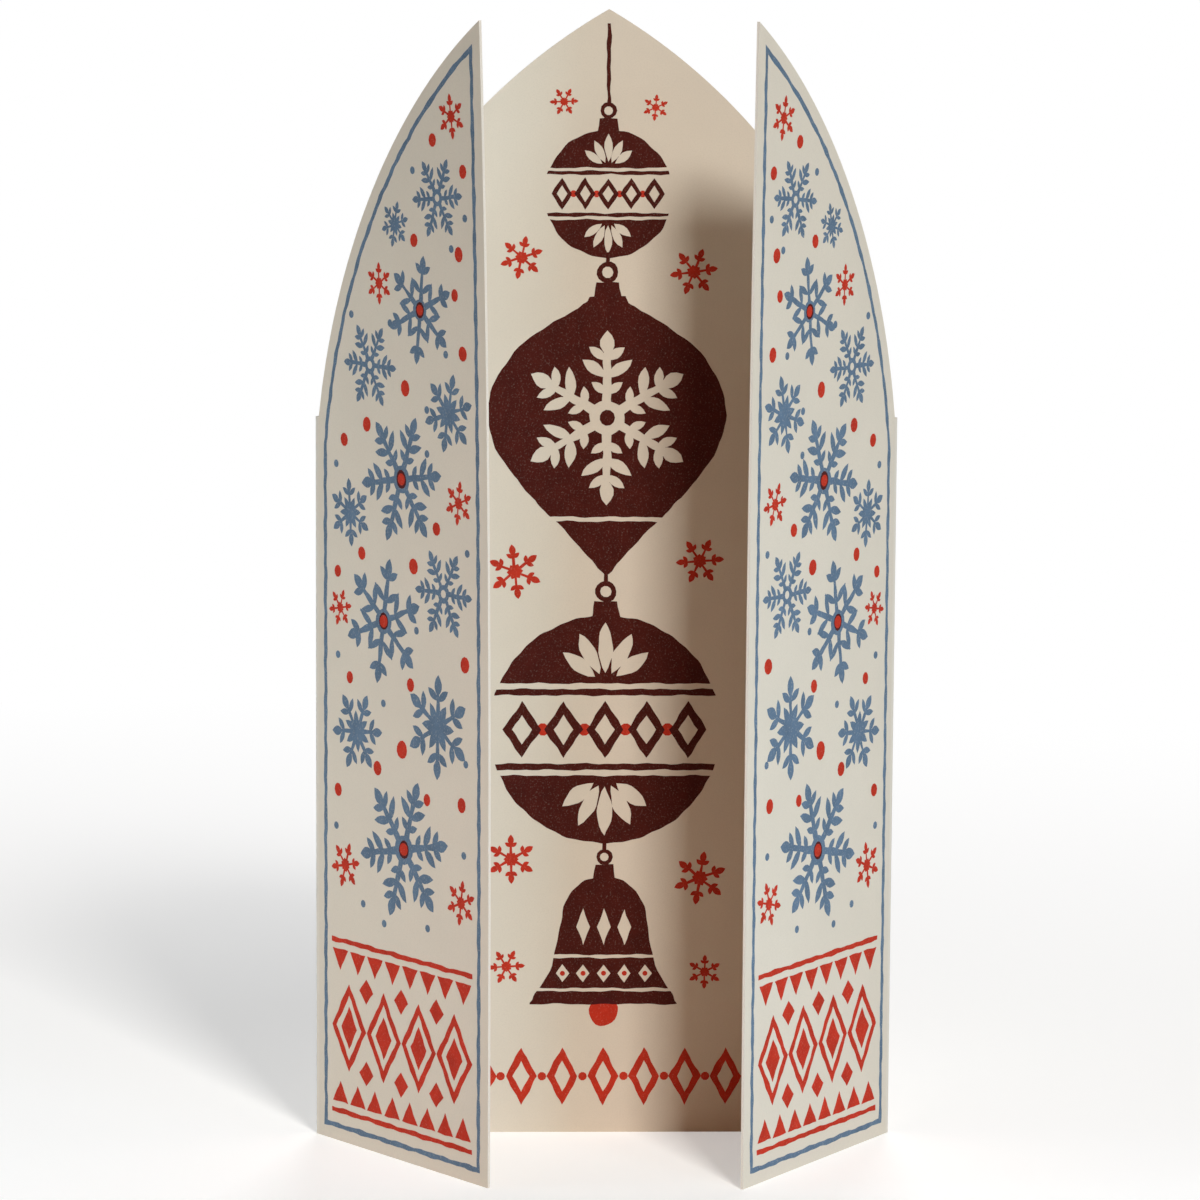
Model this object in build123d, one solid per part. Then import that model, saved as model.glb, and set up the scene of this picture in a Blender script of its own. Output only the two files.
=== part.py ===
from build123d import *
import os
from math import cos, radians, sin, sqrt

# A gate-fold greeting card: one sheet of card, die-cut to a pointed arch and
# creased twice, standing open on its bottom edge.
# Millimetres, +Z up. The origin is the middle of the back panel's bottom edge,
# +X is the card's right and -Y is its front.

CARD_WIDTH = 105.0  # outside of one fold to outside of the other
CARD_HEIGHT = 205.5  # bottom edge to the point of the arch
ARCH_RADIUS = 105.0  # each half of the equilateral pointed arch, as long as the card is wide
BOARD_THICKNESS = 0.5
CREASE_RADIUS = 0.35  # inside of a fold
SHOULDER_INSET = 1.5  # the arch starts this far in, so each crease ends in a flat shoulder
MEETING_GAP = 0.6  # between the two free edges when the card is shut
LEFT_FLAP_ANGLE = 54.7  # degrees between flap and back panel, at half height
RIGHT_FLAP_ANGLE = 56.3
LEFT_FLAP_TWIST = 2.9  # degrees by which a flap stands further open at the top than at the foot
RIGHT_FLAP_TWIST = 1.2

# Worked out from the sizes above.
OUTER_RADIUS = CREASE_RADIUS + BOARD_THICKNESS
CREASE_X = CARD_WIDTH / 2 - OUTER_RADIUS
CREASE_Y = BOARD_THICKNESS / 2 - OUTER_RADIUS
FLAP_LENGTH = CREASE_X - MEETING_GAP / 2
ARCH_CENTRE_X = CARD_WIDTH / 2 - ARCH_RADIUS
SPRING_HEIGHT = CARD_HEIGHT - sqrt(ARCH_RADIUS**2 - ARCH_CENTRE_X**2)
SHOULDER_X = CARD_WIDTH / 2 - SHOULDER_INSET


def arch_height(x):
    """Height of the arch's right half, x from the middle of the shut card."""
    return SPRING_HEIGHT + sqrt(ARCH_RADIUS**2 - (x - ARCH_CENTRE_X) ** 2)


def back_panel():
    """The full-width panel: a pointed arch with a shoulder at each crease."""
    shoulder = (SHOULDER_X, arch_height(SHOULDER_X))
    haunch = (SHOULDER_X / 2, arch_height(SHOULDER_X / 2))
    with BuildPart() as panel:
        with BuildSketch(Plane.XZ):
            with BuildLine():
                Polyline((0, 0), (CREASE_X, 0), (CREASE_X, shoulder[1]), shoulder)
                ThreePointArc(shoulder, haunch, (0, CARD_HEIGHT))
                mirror(about=Plane.YZ)
            make_face()
        extrude(amount=BOARD_THICKNESS / 2, both=True)
    return panel.part


def flap_section(angle, height):
    """Crease and right flap in plan, cut at one height."""
    along = Vector(-cos(radians(angle)), -sin(radians(angle)))
    outward = Vector(sin(radians(angle)), -cos(radians(angle)))
    centre = Vector(CREASE_X, CREASE_Y)
    outside = centre + outward * OUTER_RADIUS
    inside = centre + outward * CREASE_RADIUS
    tip = along * FLAP_LENGTH
    with BuildSketch(Plane.XY.offset(height)) as section:
        with BuildLine():
            Line(centre + (0, CREASE_RADIUS), centre + (0, OUTER_RADIUS))
            CenterArc(centre, OUTER_RADIUS, 90, angle - 180)
            Polyline(outside, outside + tip, inside + tip, inside)
            CenterArc(centre, CREASE_RADIUS, 90, angle - 180)
        make_face()
    return section.sketch


def flap_outline(angle):
    """A block across the flap's plane with the die-cut half arch as its top."""
    along = Vector(-cos(radians(angle)), -sin(radians(angle)), 0)
    inward = Vector(-sin(radians(angle)), cos(radians(angle)), 0)
    shoulder = (CREASE_X - SHOULDER_X, arch_height(SHOULDER_X))
    haunch = (CREASE_X / 2, arch_height(CREASE_X / 2))
    past_tip = (CREASE_X + MEETING_GAP, arch_height(-MEETING_GAP))
    past_crease = -4 * OUTER_RADIUS
    with BuildPart() as block:
        with BuildSketch(Plane(origin=(CREASE_X, CREASE_Y, 0), x_dir=along, z_dir=inward)):
            with BuildLine():
                ThreePointArc(shoulder, haunch, past_tip)
                Polyline(past_tip, (past_tip[0], 0), (past_crease, 0), (past_crease, shoulder[1]), shoulder)
            make_face()
        extrude(amount=FLAP_LENGTH / 4, both=True)
    return block.part


def flap(angle, twist):
    """A right flap with its crease, slightly twisted, cut to the half arch."""
    foot = flap_section(angle - twist / 2, 0)
    top = flap_section(angle + twist / 2, CARD_HEIGHT)
    return loft([foot, top], ruled=True) & flap_outline(angle)


def card():
    """Back panel, creases and both flaps as the one folded sheet."""
    right = flap(RIGHT_FLAP_ANGLE, RIGHT_FLAP_TWIST)
    left = mirror(flap(LEFT_FLAP_ANGLE, LEFT_FLAP_TWIST), about=Plane.YZ)
    return back_panel() + right + left


os.makedirs("parts", exist_ok=True)
folded_card = card().solid()
folded_card.label = "folded_card"
export_step(folded_card, "parts/folded_card.step")
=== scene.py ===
import math
import random
import bpy
from mathutils import Matrix, Vector
from mathutils.geometry import delaunay_2d_cdt


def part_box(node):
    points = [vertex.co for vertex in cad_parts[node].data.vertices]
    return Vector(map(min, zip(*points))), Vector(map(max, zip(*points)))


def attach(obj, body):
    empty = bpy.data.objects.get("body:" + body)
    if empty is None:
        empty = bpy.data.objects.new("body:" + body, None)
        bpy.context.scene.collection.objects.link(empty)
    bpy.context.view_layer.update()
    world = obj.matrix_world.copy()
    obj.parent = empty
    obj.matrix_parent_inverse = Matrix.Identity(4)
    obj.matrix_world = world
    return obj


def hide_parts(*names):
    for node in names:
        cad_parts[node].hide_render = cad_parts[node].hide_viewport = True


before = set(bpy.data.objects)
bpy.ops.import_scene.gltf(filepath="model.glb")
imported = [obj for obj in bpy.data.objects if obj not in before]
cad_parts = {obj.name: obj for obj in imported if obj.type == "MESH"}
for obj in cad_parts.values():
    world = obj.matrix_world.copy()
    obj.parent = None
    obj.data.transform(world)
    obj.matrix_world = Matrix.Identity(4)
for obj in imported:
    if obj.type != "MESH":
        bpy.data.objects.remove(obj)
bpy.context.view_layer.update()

# Sizes of the folded sheet in millimetres, the overall ones taken from the frame.
MM = 0.001
LOW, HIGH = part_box("folded_card")
CARD_WIDTH = (HIGH[0] - LOW[0]) / MM
CARD_HEIGHT = (HIGH[2] - LOW[2]) / MM
ARCH_RADIUS = 105.0
BOARD = 0.5
CREASE_RADIUS = 0.35
SHOULDER_INSET = 1.5
MEETING_GAP = 0.6

# Side -1 is the left flap and side 1 the right one. A flap's angle to the back panel, in degrees, is half
# its twist less at the foot and half its twist more at the top. The twist grows with this power of the
# height, so that a flap is straight below and curls open towards its tip.
FLAP_ANGLE = {-1: 54.7, 1: 56.3}
FLAP_TWIST = {-1: 2.9, 1: 1.2}
FLAP_CURL = 3

MID_RADIUS = CREASE_RADIUS + BOARD / 2
CREASE_X = CARD_WIDTH / 2 - CREASE_RADIUS - BOARD
CREASE_SPAN = MID_RADIUS * math.radians(180 - FLAP_ANGLE[1])
FLAP_START = CREASE_X + CREASE_SPAN
FLAP_LENGTH = CREASE_X - MEETING_GAP / 2
ARCH_CENTRE = CARD_WIDTH / 2 - ARCH_RADIUS
SPRING = CARD_HEIGHT - math.sqrt(ARCH_RADIUS**2 - ARCH_CENTRE**2)
SHOULDER_X = CARD_WIDTH / 2 - SHOULDER_INSET

# How finely the sheet is divided: the run between points, the strip under the arch that has none of its own
# and the distance within which two points become one, in millimetres, and the angle from which an edge is
# sharp, in degrees. KEEP_INSIDE tells delaunay_2d_cdt to keep only the triangles inside the outlines.
GRID = 5.0
LATTICE_MARGIN = 2.0
WELD = 0.004
SHARP_ANGLE = 35
ARCH_STEPS = 48
CREASE_STEPS = 10
KEEP_INSIDE = 1

# Films of ink: how far they stand out of the board's face and reach into it, in millimetres, the area in
# square millimetres up to which a field of ink is too small to print, and the seeds of the random draws.
INK_PROUD = 0.025
INK_SUNK = 0.02
LEAST_FIELD = 0.08
FLAP_SEED = 40
BACK_SEED = 7

# The waver of a hand-cut outline, in millimetres: the run between its points, its waves' lengths and its
# size, which is at most the outline's length divided by WAVER_PART.
CUT_STEP = 1.1
WAVE_LENGTHS = (11.0, 6.5, 3.6)
WAVER = 0.13
WAVER_PART = 120

# How round shapes of the print are divided: runs in millimetres, and steps. A leaf's side is a sine raised
# to its fullness. A turned shape's points within ON_AXIS millimetres of its axis aren't repeated.
OVAL_STEP = 0.8
OVAL_LEAST_STEPS = 10
LEAF_STEP = 0.9
LEAF_LEAST_STEPS = 5
LEAF_FULLNESS = 0.85
TURNED_STEPS = 6
FIELD_STEPS = 40
ON_AXIS = 1e-6

# Colours as sRGB.
CREAM = (232, 224, 208)
CUT_EDGE = (240, 235, 224)
SLATE_BLUE = (101, 125, 149)
VERMILION = (199, 55, 36)
MAROON = (75, 25, 18)
OVERPRINT = (78, 24, 24)

# Snow crystals, in shares of their size: a round hub and six tapered arms, each with pairs of barbs that
# lean by an angle in radians, and a pointed tip whose width is a share of its own length. A barb is given
# by its place along the arm, its length and its width. Leaves between the arms and an eye may be left out.
ARMS = 6
HUB = 0.2
ARM_LENGTH = 0.9
ARM_WIDTH = 0.12
ARM_END_WIDTH = 0.07
BARB_LEAN = 0.95
TIP_WIDTH = 0.55
BETWEEN_WIDTH = 0.2
FERN = {
    "barbs": [(0.28, 0.22, 0.1), (0.46, 0.35, 0.13), (0.66, 0.25, 0.11)],
    "tip": 0.3, "between": 0.0, "eye": 0.09,
}
PLUME = {"barbs": [(0.5, 0.38, 0.16)], "tip": 0.42, "between": 0.5, "eye": 0.0}
WHEEL = {"barbs": [(0.3, 0.4, 0.12), (0.66, 0.28, 0.13)], "tip": 0.32, "between": 0.0, "eye": 0.1}
SPARK = {"barbs": [(0.5, 0.3, 0.16)], "tip": 0.45, "between": 0.3, "eye": 0.0}

# The print on a flap, in millimetres from the crease and from the foot. The border lies between two insets.
# After the place come a crystal's size, kind and turn, a spark's size, and a dot's half width. Dots are
# DOT_STRETCH times as tall as wide.
BORDER_OUTSIDE = 2.3
BORDER_INSIDE = 3.2
FLAKES = [
    (26.5, 57.0, 13.4, FERN, 0.20), (12.4, 76.5, 7.6, PLUME, 0.10), (36.6, 80.5, 9.4, PLUME, 0.50),
    (20.5, 97.5, 11.6, WHEEL, 0.35), (38.4, 104.5, 8.4, FERN, 0.00), (10.4, 116.0, 6.2, PLUME, 0.60),
    (26.0, 123.5, 12.2, FERN, 0.15), (40.2, 136.5, 7.2, PLUME, 0.30), (16.6, 143.0, 8.0, FERN, 0.00),
    (32.0, 154.0, 9.8, WHEEL, 0.40), (37.6, 174.0, 7.6, FERN, 0.10), (24.6, 168.6, 4.2, PLUME, 0.30),
]
FLAP_SPARKS = [
    (8.8, 51.5, 4.4), (43.4, 50.0, 4.2), (7.3, 98.4, 3.5),
    (43.0, 121.0, 4.0), (19.6, 157.8, 3.8), (42.2, 188.4, 4.0),
]
DOTS = [
    (26.5, 57.0, 1.5), (18.6, 70.6, 1.2), (26.0, 75.0, 1.5), (43.6, 67.5, 1.2), (6.6, 65.0, 1.1),
    (20.5, 97.5, 1.4), (28.6, 87.0, 1.1), (44.6, 92.6, 1.3), (29.6, 108.4, 1.3), (14.0, 109.0, 1.1),
    (6.6, 105.0, 1.0), (26.0, 123.5, 1.5), (15.6, 132.4, 1.2), (36.4, 115.8, 1.1), (8.6, 129.0, 1.1),
    (27.4, 139.8, 1.3), (32.0, 154.0, 1.3), (44.6, 147.4, 1.2), (42.4, 157.4, 1.0), (30.4, 166.2, 1.1),
    (43.8, 164.6, 1.2), (36.4, 184.0, 1.1), (45.4, 179.0, 1.1), (10.2, 86.0, 1.0), (33.4, 67.0, 1.0),
]
DOT_STRETCH = 1.12
SPECKS = [
    (14.2, 45.2), (33.6, 43.8), (20.6, 42.6), (44.2, 58.6), (6.0, 58.4), (20.4, 82.6), (44.8, 75.0),
    (30.4, 97.0), (45.4, 112.4), (6.6, 89.8), (6.2, 124.4), (33.8, 136.6), (22.8, 151.0), (11.0, 151.6),
    (39.6, 146.8), (41.6, 165.4), (30.2, 178.4), (45.8, 171.0), (33.8, 128.8),
]
SPECK_RADIUS = 0.7

# The knitted band at the foot of a flap, in millimetres. Rules run from a low to a high edge. Diamonds, one
# inside the other, have ink or no ink, a half width in shares of their pitch and a half height. Studs lie
# between them, above and below. Teeth have a base and a point.
BAND_MARGIN = 4.6
BAND_RULES = [(5.2, 6.1), (36.9, 37.8)]
BAND_MIDDLE = 21.5
BAND_COLUMNS = 4
BAND_DIAMONDS = [(True, 0.49, 8.2), (False, 0.36, 6.0), (True, 0.23, 3.9)]
STUD_ROWS = (13.932, 29.068)
STUD_WIDTH = 0.2
STUD_HEIGHT = 2.3
BAND_TEETH = 8
TOOTH_GAP = 0.3
LOWER_TEETH = (7.3, 11.2)
UPPER_TEETH = (35.7, 31.8)

# What an ornament hangs from: the width of its thread, how far under the arch a side thread ends and how far
# the cap reaches down over the ornament, in millimetres, and cap and ring in shares of the cap's half width.
THREAD = 0.7
THREAD_END = 2.0
CAP_OVERLAP = 0.6
CAP_TOP = 0.8
RING_RISE = 1.7
RING_OUTSIDE = 0.75
RING_INSIDE = 0.4

# The ball, in shares of its radius. Its diamonds are given as those of the knitted band are.
BALL_BAND = 0.3
BALL_BAND_REACH = 1.1
BALL_COLUMNS = 5
BALL_REACH = 0.72
BALL_DIAMONDS = [(True, 0.165, 0.25), (False, 0.085, 0.13)]
BALL_DOTS_REACH = 0.54
BALL_DOT = 0.055
BALL_LINE = 0.38
BALL_HALF_LINE = 0.025
PETALS_RISE = 0.42
PETAL_START = (0.12, 0.08)
PETAL_LENGTH = 0.44
PETAL_SHORTER = 0.05
PETAL_WIDTH = 0.13
PETAL_TURN = 0.46  # radians from one petal to the next

# The drop and the bell. Profiles and diamonds have widths in shares of the half width, and heights in shares
# of the height. Lines run between two heights. Reaches, dots, the clapper and the crystal's size are in
# shares of the half width.
DROP_PROFILE = [
    (0.0, 0.0), (0.12, 0.06), (0.36, 0.17), (0.68, 0.31), (0.93, 0.46), (1.0, 0.58),
    (0.94, 0.7), (0.74, 0.82), (0.45, 0.91), (0.22, 0.965), (0.15, 1.0),
]
DROP_LINE = (0.2, 0.216)
DROP_CRYSTAL_HEIGHT = 0.57
DROP_CRYSTAL_SIZE = 0.74
BELL_PROFILE = [(1.0, 0.0), (0.93, 0.08), (0.7, 0.3), (0.6, 0.6), (0.5, 0.82), (0.26, 0.96), (0.0, 1.0)]
BELL_LINES = [(0.1, 0.125), (0.36, 0.385)]
BELL_COLUMNS = 5
BELL_SKIRT = 0.24
BELL_SKIRT_REACH = 0.56
BELL_SKIRT_DIAMOND = (0.09, 0.07)
BELL_DOT = 0.035
BELL_NECK = 0.6
BELL_NECK_COLUMNS = 3
BELL_NECK_REACH = 0.28
BELL_NECK_DIAMOND = (0.09, 0.14)
CLAPPER_DROP = 0.1
CLAPPER_RADIUS = 0.2

# The rest of the print inside, in millimetres from the card's middle and from its foot: where the strings
# of small ornaments hang, sparks with their sizes, and a row of diamonds with a dot in each gap.
SIDE_X = 37.0
INSIDE_SPARKS = [
    (-15.5, 161.0, 4.0), (15.5, 158.5, 4.4), (-16.5, 104.0, 5.0), (17.0, 106.0, 4.4), (-17.0, 51.0, 4.6),
    (17.5, 47.5, 5.0), (-17.8, 31.0, 3.4), (18.5, 30.0, 3.2), (-8.0, 189.0, 2.6), (8.4, 188.0, 2.4),
]
FOOT_ROW = 10.5
FOOT_REACH = 45.0
FOOT_COLUMNS = 13
FOOT_DIAMONDS = [(True, 2.9, 5.4), (False, 1.5, 2.9)]
FOOT_DOT = 0.8

# Wear on the folds starts this far outside the flat of the back panel, in millimetres.
WEAR_MARGIN = 0.2

# The floor: its radius and where it turns plain white, in metres, its colour as seen and in the light that
# it throws back, as linear values, and the glow that lifts it where it is seen.
FLOOR_REACH = 0.6
FLOOR_SIDES = 64
FLOOR_WHITE_FROM = 0.12
FLOOR_WHITE_TO = 0.5
FLOOR_SEEN = [0.86, 0.86, 0.86, 1.0]
FLOOR_THROWN = [0.9, 0.75, 0.65, 1.0]
FLOOR_GLOW = 0.38

# The light of the world as linear values, and the lamps: name, azimuth and elevation in degrees, distance
# and size in metres, power in watts and colour. They face the card at half its height and at LIT_Y metres.
WORLD_LIGHT = [0.02, 0.015, 0.01, 1.0]
LIT_Y = -0.02
LAMPS = [
    ("key", 17.8, 38, 1.4, 0.27, 12.8, (1.0, 0.97, 0.93)),
    ("right", 40, -15, 0.3, 0.055, 0.27, (0.52, 0.78, 1.0)),
    ("left", -80, -10, 0.33, 0.09, 0.33, (0.71, 0.9, 1.0)),
    ("warm", -25, -20, 0.25, 0.06, 0.04, (1.0, 0.15, 0.02)),
    ("behind", 172, 8, 1.4, 0.5, 12.0, (0.97, 0.98, 1.0)),
]

# The camera: place, sensor and lens in millimetres, angles in degrees.
CAMERA_PLACE = (-33.8, -1024.1, 248.7)
CAMERA_PITCH = 8.324
CAMERA_YAW = 1.832
CAMERA_ROLL = 0.339
CAMERA_SENSOR = 36.0
CAMERA_LENS = 171.28
CAMERA_NEAR = 10.0


def arch_height(x, inset=0.0):
    """Height of the arch's right half at x from the middle of the shut card."""
    return SPRING + math.sqrt((ARCH_RADIUS - inset) ** 2 - (x - ARCH_CENTRE) ** 2)


SHOULDER_HEIGHT = arch_height(SHOULDER_X)


def plan_point(s, angle, offset):
    """Plan place on the sheet's right half: s along it from the middle, offset outwards from mid board."""
    if s <= CREASE_X:
        return s, offset
    turn = math.radians(180 - angle) * min((s - CREASE_X) / CREASE_SPAN, 1)
    along = max(s - FLAP_START, 0)
    reach = MID_RADIUS + offset
    x = CREASE_X + reach * math.sin(turn) + along * math.cos(turn)
    y = reach * math.cos(turn) - MID_RADIUS - along * math.sin(turn)
    return x, y


def place(s, z, offset):
    """A point of the folded sheet in metres, from s along it, its height z and its offset outwards."""
    side = -1 if s < 0 else 1
    half_twist = FLAP_TWIST[side] / 2
    foot = plan_point(abs(s), FLAP_ANGLE[side] - half_twist, offset)
    top = plan_point(abs(s), FLAP_ANGLE[side] + half_twist, offset)
    share = (z / CARD_HEIGHT) ** FLAP_CURL
    x = foot[0] + (top[0] - foot[0]) * share
    y = foot[1] + (top[1] - foot[1]) * share
    return Vector((side * x * MM, y * MM, z * MM))


# The sheet


def divided(points, step):
    """A closed outline with extra points, so that no run between two is much longer than step."""
    rim = []
    for (x0, z0), (x1, z1) in zip(points, points[1:] + points[:1]):
        parts = max(1, round(math.dist((x0, z0), (x1, z1)) / step))
        rim += [(x0 + (x1 - x0) * i / parts, z0 + (z1 - z0) * i / parts) for i in range(parts)]
    return rim


def half_blank():
    """Right half of the flat blank's outline, from the foot of its middle round to the arch's point."""
    points = [(0, 0), (CREASE_X, 0), (FLAP_START, 0), (FLAP_START + FLAP_LENGTH, 0)]
    shoulder = CREASE_X - SHOULDER_X
    for i in range(ARCH_STEPS + 1):
        u = FLAP_LENGTH + (shoulder - FLAP_LENGTH) * i / ARCH_STEPS
        points.append((FLAP_START + u, arch_height(CREASE_X - u)))
    for i in range(ARCH_STEPS + 1):
        x = SHOULDER_X * (1 - i / ARCH_STEPS)
        points.append((x, arch_height(x)))
    return points


def blank_outline():
    """The whole flat blank, anticlockwise as seen from the card's inside."""
    right = half_blank()
    left = [(-s, z) for s, z in reversed(right[1:-1])]
    return divided(right + left, GRID)


def lattice():
    """Points spread over the flat panels, so that no triangle of the sheet is long."""
    points = []
    for side in (-1, 1):
        for start, length in ((0.0, CREASE_X), (FLAP_START, FLAP_LENGTH)):
            columns = int(length / GRID)
            for i in range(1, columns):
                u = length * i / columns
                x = u if start == 0 else CREASE_X - u
                tall = arch_height(x) - LATTICE_MARGIN
                rows = int(tall / GRID)
                points += [(side * (start + u), tall * j / rows) for j in range(1, rows)]
    return points


def crease_lines():
    """Upright lines across both creases, along which the board bends."""
    lines = []
    for side in (-1, 1):
        for i in range(CREASE_STEPS + 1):
            s = side * (CREASE_X + CREASE_SPAN * i / CREASE_STEPS)
            lines.append(((s, 0), (s, SHOULDER_HEIGHT)))
    return lines


def flat_mesh(outlines, lines=(), loose=()):
    """Triangles of a flat drawing, with the numbers of the outlines that hold each one."""
    points = []
    loops = []
    edges = []
    for outline in outlines:
        loops.append(list(range(len(points), len(points) + len(outline))))
        points += outline
    for line in lines:
        edges.append((len(points), len(points) + 1))
        points += line
    points += loose
    flat = [Vector(p) for p in points]
    spots, _, triangles, _, _, holders = delaunay_2d_cdt(flat, edges, loops, KEEP_INSIDE, WELD)
    corners = [tuple(p) for p in spots]
    faces = []
    for face in triangles:
        a, b, c = [spots[i] for i in face]
        turn = (b - a).cross(c - a)
        faces.append(face if turn > 0 else face[::-1])
    return corners, faces, holders


def open_edges(faces):
    """Edges that only one of these triangles has, each in that triangle's direction."""
    found = {}
    for face in faces:
        for a, b in zip(face, face[1:] + face[:1]):
            if (b, a) in found:
                del found[(b, a)]
            else:
                found[(a, b)] = True
    return list(found)


def new_piece(name, points, faces, materials, indices):
    """A mesh object that rides on the card, smooth but for its sharp edges."""
    mesh = bpy.data.meshes.new(name)
    mesh.from_pydata(points, [], faces)
    for material in materials:
        mesh.materials.append(material)
    mesh.polygons.foreach_set("material_index", indices)
    mesh.polygons.foreach_set("use_smooth", [True] * len(faces))
    mesh.set_sharp_from_angle(angle=math.radians(SHARP_ANGLE))
    mesh.update()
    mesh.validate()
    piece = bpy.data.objects.new(name, mesh)
    bpy.context.scene.collection.objects.link(piece)
    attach(piece, "root")
    return piece


def slab(corners, faces, near, far):
    """A closed slab: the triangles at offset near, facing inwards, again at far, and the rim between."""
    used = sorted({i for face in faces for i in face})
    number = {old: new for new, old in enumerate(used)}
    count = len(used)
    points = [place(*corners[i], near) for i in used] + [place(*corners[i], far) for i in used]
    inner = [[number[i] for i in face] for face in faces]
    outer = [[i + count for i in reversed(face)] for face in inner]
    rim = [(b, a, a + count, b + count) for a, b in open_edges(inner)]
    return points, inner + outer, rim


def folded_sheet(paper, edge):
    """The whole card as one folded sheet of board."""
    corners, faces, _ = flat_mesh([blank_outline()], crease_lines(), lattice())
    points, sides, rim = slab(corners, faces, -BOARD / 2, BOARD / 2)
    indices = [0] * len(sides) + [1] * len(rim)
    piece = new_piece("card_sheet", points, sides + rim, [paper, edge], indices)
    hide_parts("folded_card")


# Outlines for the print, each a closed list of points in millimetres


def hand_cut(outline, chance):
    """The outline with the small waver of a hand-cut block."""
    rim = divided(outline, CUT_STEP)
    length = sum(math.dist(a, b) for a, b in zip(rim, rim[1:] + rim[:1]))
    amount = min(WAVER, length / WAVER_PART)
    waves = [(max(1, round(length / w)), chance.uniform(0, math.tau)) for w in WAVE_LENGTHS]
    cut = []
    for i, (x, z) in enumerate(rim):
        share = i / len(rim) * math.tau
        x0, z0 = rim[i - 1]
        x1, z1 = rim[(i + 1) % len(rim)]
        run = math.hypot(x1 - x0, z1 - z0) or 1.0
        push = amount * sum(math.sin(n * share + p) for n, p in waves) / 2
        cut.append((x + push * (z1 - z0) / run, z - push * (x1 - x0) / run))
    return cut


def oval(x, z, rx, rz=None):
    """A circle, or an oval where its half height is given too."""
    rz = rz or rx
    steps = max(OVAL_LEAST_STEPS, round(math.tau * max(rx, rz) / OVAL_STEP))
    turns = [math.tau * i / steps for i in range(steps)]
    return [(x + rx * math.cos(t), z + rz * math.sin(t)) for t in turns]


def box(x0, z0, x1, z1):
    """A rectangle between two corners."""
    return [(x0, z0), (x1, z0), (x1, z1), (x0, z1)]


def diamond(x, z, rx, rz):
    """A diamond of half width rx and half height rz."""
    return [(x - rx, z), (x, z - rz), (x + rx, z), (x, z + rz)]


def leaf(x, z, turn, length, width):
    """A pointed oval that starts at x, z."""
    steps = max(LEAF_LEAST_STEPS, round(length / LEAF_STEP))
    shares = [i / steps for i in range(steps + 1)]
    right = [(length * t, -width / 2 * math.sin(math.pi * t) ** LEAF_FULLNESS) for t in shares]
    left = [(a, -b) for a, b in reversed(right[1:-1])]
    c, s = math.cos(turn), math.sin(turn)
    return [(x + a * c - b * s, z + a * s + b * c) for a, b in right + left]


def bar(x, z, turn, length, width, end_width):
    """A straight stroke that tapers from width to end_width."""
    c, s = math.cos(turn), math.sin(turn)
    corners = [(0, -width / 2), (length, -end_width / 2), (length, end_width / 2), (0, width / 2)]
    return [(x + a * c - b * s, z + a * s + b * c) for a, b in corners]


def curve_value(a, b, c, d, t):
    """The value at the share t from b to c, on a smooth curve through four values."""
    return b + t / 2 * (c - a + t * (2 * a - 5 * b + 4 * c - d + t * (3 * (b - c) + d - a)))


def turned(x, profile):
    """A shape that is alike left and right of x, from half widths and heights going upwards."""
    smooth = []
    for i in range(len(profile) - 1):
        before, start = profile[max(i - 1, 0)], profile[i]
        end, after = profile[i + 1], profile[min(i + 2, len(profile) - 1)]
        for k in range(TURNED_STEPS):
            t = k / TURNED_STEPS
            smooth.append([curve_value(*values, t) for values in zip(before, start, end, after)])
    smooth.append(profile[-1])
    right = [(x + max(w, 0), z) for w, z in smooth]
    left = [(2 * x - w, z) for w, z in reversed(right)]
    return right + [p for p in left if abs(p[0] - x) > ON_AXIS]


def sized(shape, low, tall, r):
    """A profile at its place, from shares of the half width r and of the height."""
    return [(w * r, low + h * tall) for w, h in shape]


def flap_field(inset):
    """The flap's own outline drawn in by inset, measured from the crease."""
    low = CREASE_X - inset
    high = MEETING_GAP / 2 + inset
    arch = [low + (high - low) * i / FIELD_STEPS for i in range(FIELD_STEPS + 1)]
    top = [(CREASE_X - x, arch_height(x, inset)) for x in reversed(arch)]
    return [(inset, inset), (FLAP_LENGTH - inset, inset)] + top


# The print: lists of (plate, ink or no ink, outline), later ones over earlier ones


def snowflake(plate, ink, x, z, size, kind, turn):
    """A six-armed crystal."""
    tip = kind["tip"] * size
    outlines = [oval(x, z, size * HUB)]
    for i in range(ARMS):
        way = turn + math.tau * i / ARMS
        c, s = math.cos(way), math.sin(way)
        outlines.append(bar(x, z, way, size * ARM_LENGTH, size * ARM_WIDTH, size * ARM_END_WIDTH))
        for at, length, width in kind["barbs"]:
            start = (x + c * size * at, z + s * size * at)
            for lean in (-BARB_LEAN, BARB_LEAN):
                outlines.append(leaf(*start, way + lean, size * length, size * width))
        outlines.append(leaf(x + c * (size - tip), z + s * (size - tip), way, tip, tip * TIP_WIDTH))
        if kind["between"]:
            aside = way + math.pi / ARMS
            outlines.append(leaf(x, z, aside, size * kind["between"], size * BETWEEN_WIDTH))
    drawn = [(plate, ink, outline) for outline in outlines]
    if kind["eye"]:
        drawn.append((plate, not ink, oval(x, z, size * kind["eye"])))
    return drawn


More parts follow.
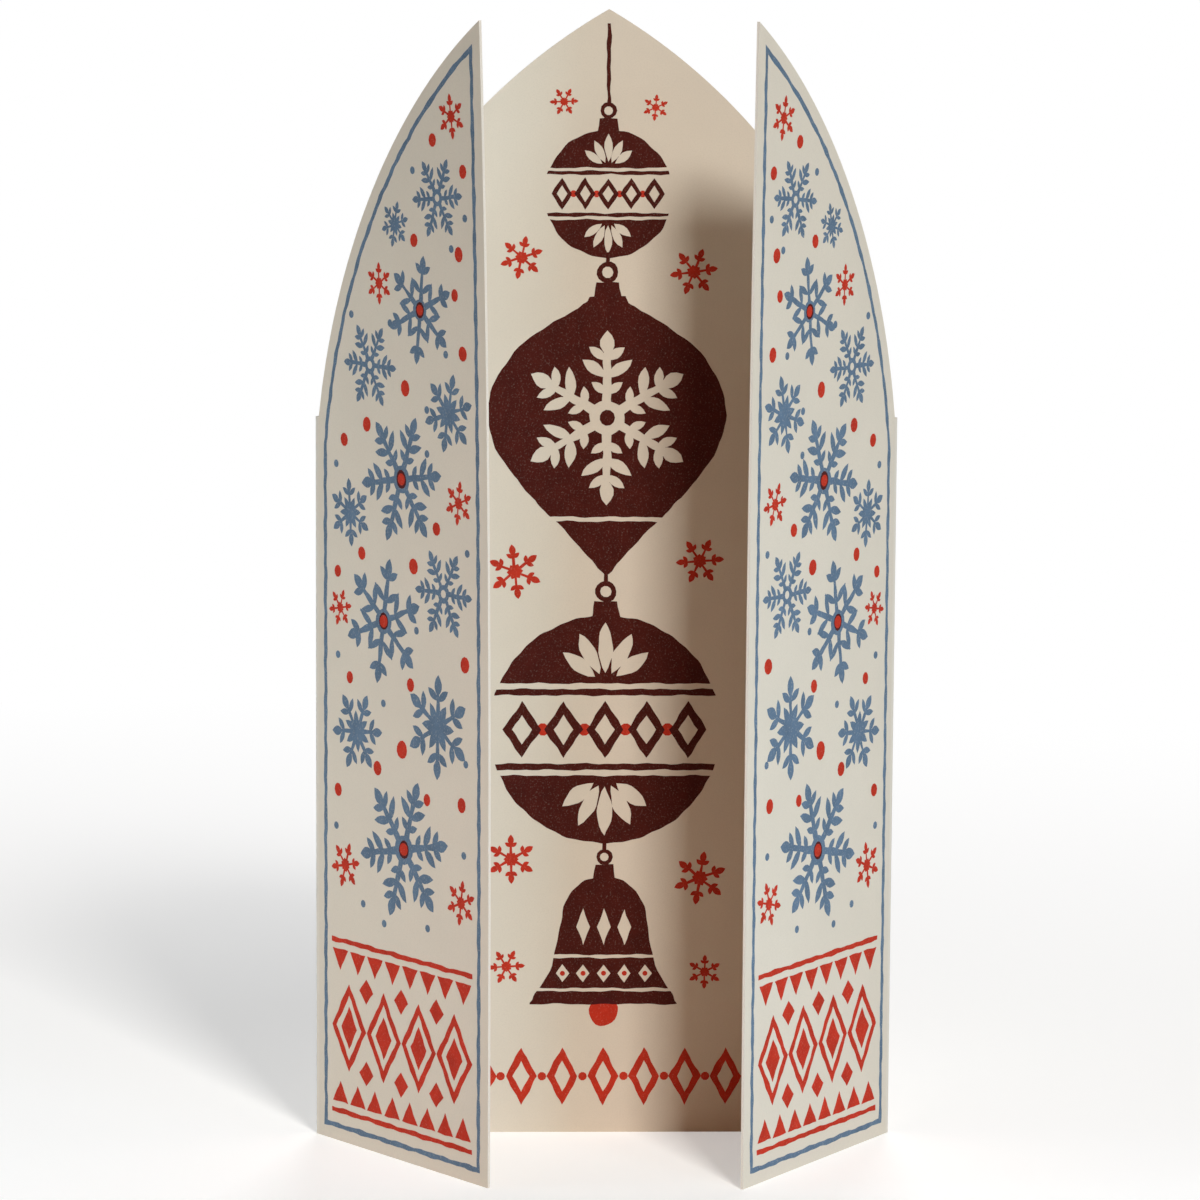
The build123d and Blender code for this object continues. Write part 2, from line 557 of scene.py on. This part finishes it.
def knit_band():
    """Rows of diamonds and teeth along the foot of a flap, as on a patterned jumper."""
    left = BAND_MARGIN
    right = FLAP_LENGTH - BAND_MARGIN
    drawn = [("red", True, box(left, low, right, high)) for low, high in BAND_RULES]
    pitch = (right - left) / BAND_COLUMNS
    for i in range(BAND_COLUMNS):
        x = left + pitch * (i + 0.5)
        for ink, width, height in BAND_DIAMONDS:
            drawn.append(("red", ink, diamond(x, BAND_MIDDLE, pitch * width, height)))
    for i in range(1, BAND_COLUMNS):
        x = left + pitch * i
        for z in STUD_ROWS:
            drawn.append(("red", True, diamond(x, z, pitch * STUD_WIDTH, STUD_HEIGHT)))
    return drawn + teeth(left, (right - left) / BAND_TEETH)


def teeth(left, step):
    """Two rows of teeth that point at the middle of the knitted band."""
    drawn = []
    for i in range(BAND_TEETH):
        x = left + step * i
        start = x + TOOTH_GAP
        middle = x + step / 2
        end = x + step - TOOTH_GAP
        base, point = LOWER_TEETH
        drawn.append(("red", True, [(start, base), (end, base), (middle, point)]))
        base, point = UPPER_TEETH
        drawn.append(("red", True, [(start, base), (middle, point), (end, base)]))
    return drawn


def flap_print(chance):
    """What is printed on a flap: a ruled border, falling snow and a knitted band."""
    drawn = [("blue", True, flap_field(BORDER_OUTSIDE)), ("blue", False, flap_field(BORDER_INSIDE))]
    for x, z, size, kind, turn in FLAKES:
        drawn += snowflake("blue", True, x, z, size, kind, turn)
    for x, z, size in FLAP_SPARKS:
        drawn += snowflake("red", True, x, z, size, SPARK, chance.uniform(0, 1))
    drawn += [("red", True, oval(x, z, r, r * DOT_STRETCH)) for x, z, r in DOTS]
    drawn += [("blue", True, oval(x, z, SPECK_RADIUS)) for x, z in SPECKS]
    return drawn + knit_band()


def hanger(x, z, top, size):
    """Cap, ring and thread up to top, above an ornament that ends at z."""
    base = z - CAP_OVERLAP
    high = z + size
    ring = z + size * RING_RISE
    narrow = size * CAP_TOP
    return [
        ("maroon", True, box(x - THREAD / 2, ring, x + THREAD / 2, top)),
        ("maroon", True, oval(x, ring, size * RING_OUTSIDE)),
        ("maroon", False, oval(x, ring, size * RING_INSIDE)),
        ("maroon", True, [(x - size, base), (x + size, base), (x + narrow, high), (x - narrow, high)]),
    ]


def row(plate, ink, x, z, reach, count, shape, *sizes):
    """The same small shape several times side by side."""
    places = [x - reach + 2 * reach * i / (count - 1) for i in range(count)]
    return [(plate, ink, shape(p, z, *sizes)) for p in places]


def petals(x, z, r, up):
    """A fan of five petals, the middle one longest, opening upwards where up is 1 and downwards for -1."""
    drawn = []
    for aside in range(-2, 3):
        way = up * math.pi / 2 + aside * PETAL_TURN
        length = r * (PETAL_LENGTH - PETAL_SHORTER * abs(aside))
        start = (x + math.cos(way) * r * PETAL_START[0], z + math.sin(way) * r * PETAL_START[1])
        drawn.append(("maroon", False, leaf(*start, way, length, r * PETAL_WIDTH)))
    return drawn


def round_ornament(x, z, r):
    """A ball with a broad band of diamonds and two fans of petals."""
    band = r * BALL_BAND
    wide = r * BALL_BAND_REACH
    half_line = r * BALL_HALF_LINE
    drawn = [("maroon", True, oval(x, z, r))]
    drawn.append(("maroon", False, box(x - wide, z - band, x + wide, z + band)))
    for ink, width, height in BALL_DIAMONDS:
        drawn += row("maroon", ink, x, z, r * BALL_REACH, BALL_COLUMNS, diamond, r * width, r * height)
    drawn += row("red", True, x, z, r * BALL_DOTS_REACH, BALL_COLUMNS - 1, oval, r * BALL_DOT)
    for up in (-1, 1):
        line = z + up * r * BALL_LINE
        drawn.append(("maroon", False, box(x - r, line - half_line, x + r, line + half_line)))
        drawn += petals(x, z + up * r * PETALS_RISE, r, up)
    return drawn


def drop_ornament(x, low, high, r):
    """An onion shape with a crystal cut out of its middle and a line across its point."""
    tall = high - low
    middle = low + tall * DROP_CRYSTAL_HEIGHT
    start, end = DROP_LINE
    drawn = [("maroon", True, turned(x, sized(DROP_PROFILE, low, tall, r)))]
    drawn += snowflake("maroon", False, x, middle, r * DROP_CRYSTAL_SIZE, FERN, math.pi / ARMS)
    drawn.append(("maroon", False, box(x - r, low + tall * start, x + r, low + tall * end)))
    return drawn


def bell_ornament(x, low, high, r):
    """A bell with lines and rows of diamonds on it, and a round clapper."""
    tall = high - low
    skirt = low + tall * BELL_SKIRT
    reach = r * BELL_SKIRT_REACH
    drawn = [("red", True, oval(x, low - r * CLAPPER_DROP, r * CLAPPER_RADIUS))]
    drawn.append(("maroon", True, turned(x, sized(BELL_PROFILE, low, tall, r))))
    for start, end in BELL_LINES:
        drawn.append(("maroon", False, box(x - r, low + tall * start, x + r, low + tall * end)))
    width, height = BELL_SKIRT_DIAMOND
    drawn += row("maroon", False, x, skirt, reach, BELL_COLUMNS, diamond, r * width, tall * height)
    drawn += row("red", True, x, skirt, reach, BELL_COLUMNS, oval, r * BELL_DOT)
    neck = low + tall * BELL_NECK
    reach = r * BELL_NECK_REACH
    width, height = BELL_NECK_DIAMOND
    drawn += row("maroon", False, x, neck, reach, BELL_NECK_COLUMNS, diamond, r * width, tall * height)
    return drawn


def middle_ornaments():
    """The string of large ornaments down the middle of the back panel."""
    drawn = hanger(0, 184.0, top=203.0, size=2.0) + round_ornament(0, 172.5, r=11.5)
    drawn += hanger(0, 154.0, top=162.0, size=2.6) + drop_ornament(0, low=103.0, high=154.0, r=21.5)
    drawn += hanger(0, 96.0, top=104.0, size=2.6) + round_ornament(0, 75.0, r=21.0)
    drawn += hanger(0, 48.0, top=55.0, size=2.0) + bell_ornament(0, low=24.0, high=48.0, r=13.5)
    return drawn


def side_ornaments(x):
    """A string of small ornaments beside the middle one, hung from just under the arch."""
    arch = arch_height(SIDE_X) - THREAD_END
    drawn = hanger(x, 148.0, top=arch, size=1.7) + bell_ornament(x, low=126.0, high=148.0, r=9.5)
    drawn += hanger(x, 108.0, top=123.0, size=1.7) + round_ornament(x, 97.0, r=11.0)
    drawn += hanger(x, 72.0, top=87.0, size=1.7) + drop_ornament(x, low=42.0, high=72.0, r=9.5)
    return drawn


def back_print(chance):
    """What is printed inside: hung ornaments, sparks between them and a row of diamonds at the foot."""
    drawn = middle_ornaments() + side_ornaments(-SIDE_X) + side_ornaments(SIDE_X)
    for x, z, size in INSIDE_SPARKS:
        drawn += snowflake("red", True, x, z, size, SPARK, chance.uniform(0, 1))
    for ink, width, height in FOOT_DIAMONDS:
        drawn += row("red", ink, 0, FOOT_ROW, FOOT_REACH, FOOT_COLUMNS, diamond, width, height)
    gaps = FOOT_COLUMNS - 1
    drawn += row("red", True, 0, FOOT_ROW, FOOT_REACH - FOOT_REACH / gaps, gaps, oval, FOOT_DOT)
    return drawn


def islands(faces):
    """Triangles gathered into groups that hang together by their edges."""
    owner = {}
    for number, face in enumerate(faces):
        for edge in zip(face, face[1:] + face[:1]):
            owner[edge] = number
    taken = set()
    groups = []
    for start in range(len(faces)):
        waiting = [] if start in taken else [start]
        taken.add(start)
        group = []
        while waiting:
            face = faces[waiting.pop()]
            group.append(face)
            for a, b in zip(face, face[1:] + face[:1]):
                other = owner.get((b, a))
                if other is not None and other not in taken:
                    taken.add(other)
                    waiting.append(other)
        if group:
            groups.append(group)
    return groups


def area(corners, faces):
    """Area of flat triangles in square millimetres."""
    total = 0.0
    for face in faces:
        (x0, z0), (x1, z1), (x2, z2) = [corners[i] for i in face]
        total += ((x1 - x0) * (z2 - z0) - (x2 - x0) * (z1 - z0)) / 2
    return total


def separated(drawn, chance):
    """The drawing as flat triangles, gathered by the inks on each, without fields too small to print."""
    outlines = [hand_cut(outline, chance) for _, _, outline in drawn]
    corners, faces, held = flat_mesh(outlines)
    fields = {}
    for face, holders in zip(faces, held):
        state = {}
        for number in sorted(holders):
            plate, ink, _ = drawn[number]
            state[plate] = ink
        inks = tuple(sorted(plate for plate, ink in state.items() if ink))
        if inks:
            fields.setdefault(inks, []).append(face)
    for inks, field in fields.items():
        kept = [group for group in islands(field) if area(corners, group) > LEAST_FIELD]
        fields[inks] = [face for group in kept for face in group]
    return corners, fields


def print_films(panel, corners, fields, depth, inks):
    """One thin closed film of ink for each field of colour on a panel."""
    for held, faces in fields.items():
        colour = held[0] if len(held) == 1 else "overprint"
        points, sides, rim = slab(corners, faces, *depth)
        faces = sides + rim
        new_piece("print_" + panel + "_" + colour, points, faces, [inks[colour]], [0] * len(faces))


def print_flap(side, inks):
    """The print on the outer face of one flap."""
    chance = random.Random(FLAP_SEED + side)
    corners, fields = separated(flap_print(chance), chance)
    on_sheet = [(side * (FLAP_START + u), z) for u, z in corners]
    if side < 0:
        # The drawing is mirrored here, so its triangles are turned round.
        fields = {held: [face[::-1] for face in faces] for held, faces in fields.items()}
    panel = "left_flap" if side < 0 else "right_flap"
    print_films(panel, on_sheet, fields, (BOARD / 2 - INK_SUNK, BOARD / 2 + INK_PROUD), inks)


def print_back(inks):
    """The print on the inner face of the back panel."""
    chance = random.Random(BACK_SEED)
    corners, fields = separated(back_print(chance), chance)
    print_films("inside", corners, fields, (-BOARD / 2 - INK_PROUD, -BOARD / 2 + INK_SUNK), inks)


# Materials


def linear(colour):
    """An sRGB colour of 0 to 255 as the linear values that shaders take."""
    parts = [c / 255 for c in colour]
    return [p / 12.92 if p <= 0.04045 else ((p + 0.055) / 1.055) ** 2.4 for p in parts] + [1.0]


def scaled(colour, by):
    """An sRGB colour as linear values, made darker or lighter."""
    return [c * by for c in linear(colour)[:3]] + [1.0]


def node(tree, kind, **inputs):
    """A new node with some of its inputs set. A _ in a name stands for a space."""
    made = tree.nodes.new(kind)
    for name, value in inputs.items():
        made.inputs[name.replace("_", " ")].default_value = value
    return made


def new_material(name, roughness, specular):
    """A material with its node tree and its shader."""
    material = bpy.data.materials.new(name)
    material.use_nodes = True
    shader = material.node_tree.nodes["Principled BSDF"]
    shader.inputs["Roughness"].default_value = roughness
    shader.inputs["Specular IOR Level"].default_value = specular
    return material, material.node_tree, shader


def own_place(tree):
    """Coordinates of the object itself, in metres."""
    return tree.nodes.new("ShaderNodeTexCoord").outputs["Object"]


def noise(tree, scale, detail, roughness):
    """Noise over the object's own coordinates."""
    made = node(tree, "ShaderNodeTexNoise", Scale=scale, Detail=detail, Roughness=roughness)
    tree.links.new(own_place(tree), made.inputs["Vector"])
    return made.outputs["Fac"]


def ramp(tree, value, low, high, end=1.0):
    """value from low to high mapped to 0 to end."""
    made = node(tree, "ShaderNodeMapRange", From_Min=low, From_Max=high, To_Min=0.0, To_Max=end)
    tree.links.new(value, made.inputs["Value"])
    return made.outputs["Result"]


def worked_out(tree, operation, *values):
    """The result of a Math node on other nodes' values."""
    made = tree.nodes.new("ShaderNodeMath")
    made.operation = operation
    for number, value in enumerate(values):
        tree.links.new(value, made.inputs[number])
    return made.outputs[0]


def blended(tree, share, first, second):
    """first to second by share, where each is a colour or another node's colour."""
    made = tree.nodes.new("ShaderNodeMix")
    made.data_type = "RGBA"
    tree.links.new(share, made.inputs["Factor"])
    # The node's sockets for colours come after those for numbers and vectors.
    for socket, value in ((made.inputs[6], first), (made.inputs[7], second)):
        if isinstance(value, list):
            socket.default_value = value
        else:
            tree.links.new(value, socket)
    return made.outputs[2]


def bump(tree, height, shader, strength, depth):
    """Fine relief on the shader, depth in millimetres."""
    made = node(tree, "ShaderNodeBump", Strength=strength, Distance=depth * MM)
    tree.links.new(height, made.inputs["Height"])
    tree.links.new(made.outputs["Normal"], shader.inputs["Normal"])


def crease_wear(tree):
    """1 on the round outside of the two folds, fading to 0 on the panels beside them."""
    axes = tree.nodes.new("ShaderNodeSeparateXYZ")
    tree.links.new(own_place(tree), axes.inputs[0])
    aside = worked_out(tree, "ABSOLUTE", axes.outputs["X"])
    return ramp(tree, aside, (CREASE_X + WEAR_MARGIN) * MM, CARD_WIDTH / 2 * MM)


def paper_material():
    """Uncoated cream card: soft cloudiness, fine tooth and a paler line along each crease."""
    material, tree, shader = new_material("cream_card", roughness=0.9, specular=0.12)
    clouds = ramp(tree, noise(tree, scale=55, detail=4, roughness=0.6), low=0.3, high=0.7)
    base = blended(tree, clouds, scaled(CREAM, 0.975), scaled(CREAM, 1.015))
    fibres = ramp(tree, noise(tree, scale=3600, detail=3, roughness=0.7), low=0.45, high=0.75)
    base = blended(tree, fibres, base, scaled(CREAM, 0.94))
    base = blended(tree, crease_wear(tree), base, linear(CUT_EDGE))
    tree.links.new(base, shader.inputs["Base Color"])
    tooth = noise(tree, scale=3800, detail=4, roughness=0.6)
    bump(tree, tooth, shader, strength=0.25, depth=0.02)
    return material


def edge_material():
    """The cut edge of the board, a little whiter and rougher than its faces."""
    material, tree, shader = new_material("cut_edge", roughness=0.95, specular=0.1)
    fuzz = noise(tree, scale=5200, detail=3, roughness=0.7)
    share = ramp(tree, fuzz, low=0.3, high=0.7)
    base = blended(tree, share, scaled(CUT_EDGE, 0.88), linear(CUT_EDGE))
    tree.links.new(base, shader.inputs["Base Color"])
    bump(tree, fuzz, shader, strength=0.5, depth=0.05)
    return material


def ink_material(name, colour, thin):
    """Matt ink that lies unevenly: cloudy, with the paper showing by up to thin through its tooth."""
    material, tree, shader = new_material(name, roughness=0.7, specular=0.1)
    clouds = ramp(tree, noise(tree, scale=260, detail=5, roughness=0.65), low=0.3, high=0.72)
    base = blended(tree, clouds, scaled(colour, 0.82), scaled(colour, 1.14))
    grain = noise(tree, scale=3000, detail=3, roughness=0.6)
    base = blended(tree, ramp(tree, grain, low=0.56, high=0.74, end=thin), base, linear(CREAM))
    tree.links.new(base, shader.inputs["Base Color"])
    tooth = noise(tree, scale=3400, detail=4, roughness=0.6)
    bump(tree, tooth, shader, strength=0.3, depth=0.025)
    return material


# Floor, light and camera


def seen(tree):
    """1 for what the camera sees, directly, in gloss or through glass, and 0 for light thrown back."""
    path = tree.nodes.new("ShaderNodeLightPath")
    straight_or_gloss = worked_out(
        tree, "MAXIMUM", path.outputs["Is Camera Ray"], path.outputs["Is Glossy Ray"]
    )
    return worked_out(tree, "MAXIMUM", straight_or_gloss, path.outputs["Is Transmission Ray"])


def floor_material():
    """White that keeps the card's shadow, throws a warm light back and turns plain white further off."""
    material, tree, shader = new_material("floor", roughness=0.9, specular=0.1)
    view = seen(tree)
    tree.links.new(blended(tree, view, FLOOR_THROWN, FLOOR_SEEN), shader.inputs["Base Color"])
    shader.inputs["Emission Color"].default_value = (1, 1, 1, 1)
    glow = ramp(tree, view, low=0, high=1, end=FLOOR_GLOW)
    tree.links.new(glow, shader.inputs["Emission Strength"])
    distance = tree.nodes.new("ShaderNodeVectorMath")
    distance.operation = "LENGTH"
    tree.links.new(own_place(tree), distance.inputs[0])
    far = ramp(tree, distance.outputs["Value"], FLOOR_WHITE_FROM, FLOOR_WHITE_TO)
    white = node(tree, "ShaderNodeEmission", Strength=1.0)
    mix = tree.nodes.new("ShaderNodeMixShader")
    tree.links.new(worked_out(tree, "MULTIPLY", far, view), mix.inputs[0])
    tree.links.new(shader.outputs[0], mix.inputs[1])
    tree.links.new(white.outputs[0], mix.inputs[2])
    tree.links.new(mix.outputs[0], tree.nodes["Material Output"].inputs["Surface"])
    return material


def pale_floor():
    """A round plain floor under the card."""
    turns = [math.tau * i / FLOOR_SIDES for i in range(FLOOR_SIDES)]
    rim = [(FLOOR_REACH * math.cos(t), FLOOR_REACH * math.sin(t), 0) for t in turns]
    mesh = bpy.data.meshes.new("floor")
    mesh.from_pydata(rim, [], [range(FLOOR_SIDES)])
    mesh.materials.append(floor_material())
    floor = bpy.data.objects.new("floor", mesh)
    bpy.context.scene.collection.objects.link(floor)


def white_world():
    """Even faint light all round, plain white where the camera sees it."""
    world = bpy.data.worlds.new("world")
    bpy.context.scene.world = world
    world.use_nodes = True
    tree = world.node_tree
    colour = blended(tree, seen(tree), WORLD_LIGHT, [1.0, 1.0, 1.0, 1.0])
    tree.links.new(colour, tree.nodes["Background"].inputs["Color"])


def lamp(name, azimuth, elevation, distance, size, power, colour):
    """A square soft light that faces the middle of the card."""
    light = bpy.data.lights.new(name, "AREA")
    light.size = size
    light.energy = power
    light.color = colour
    middle = Vector((0, LIT_Y, CARD_HEIGHT * MM / 2))
    a, e = math.radians(azimuth), math.radians(elevation)
    away = Vector((math.sin(a) * math.cos(e), -math.cos(a) * math.cos(e), math.sin(e)))
    made = bpy.data.objects.new(name, light)
    made.location = middle + away * distance
    made.rotation_mode = "QUATERNION"
    made.rotation_quaternion = away.to_track_quat("Z", "Y")
    bpy.context.scene.collection.objects.link(made)


def camera():
    """The photograph's viewpoint: a long lens a little above the card and to its left."""
    data = bpy.data.cameras.new("camera")
    data.sensor_width = CAMERA_SENSOR
    data.lens = CAMERA_LENS
    data.clip_start = CAMERA_NEAR * MM
    pitch, yaw, roll = [math.radians(a) for a in (CAMERA_PITCH, CAMERA_YAW, CAMERA_ROLL)]
    forward = Vector((math.sin(yaw) * math.cos(pitch), math.cos(yaw) * math.cos(pitch), -math.sin(pitch)))
    level = Vector((math.cos(yaw), -math.sin(yaw), 0))
    up = level.cross(forward)
    right = level * math.cos(roll) + up * math.sin(roll)
    top = up * math.cos(roll) - level * math.sin(roll)
    turn = Matrix((right, top, -forward)).transposed().to_4x4()
    made = bpy.data.objects.new("camera", data)
    made.matrix_world = Matrix.Translation(Vector(CAMERA_PLACE) * MM) @ turn
    bpy.context.scene.collection.objects.link(made)
    bpy.context.scene.camera = made


folded_sheet(paper_material(), edge_material())
INKS = {
    "blue": ink_material("slate_blue_ink", SLATE_BLUE, thin=0.3),
    "red": ink_material("vermilion_ink", VERMILION, thin=0.12),
    "maroon": ink_material("maroon_ink", MAROON, thin=0.1),
    "overprint": ink_material("overprinted_ink", OVERPRINT, thin=0.06),
}
print_flap(-1, INKS)
print_flap(1, INKS)
print_back(INKS)
pale_floor()
white_world()
for settings in LAMPS:
    lamp(*settings)
camera()
bpy.context.scene.view_settings.view_transform = "Standard"
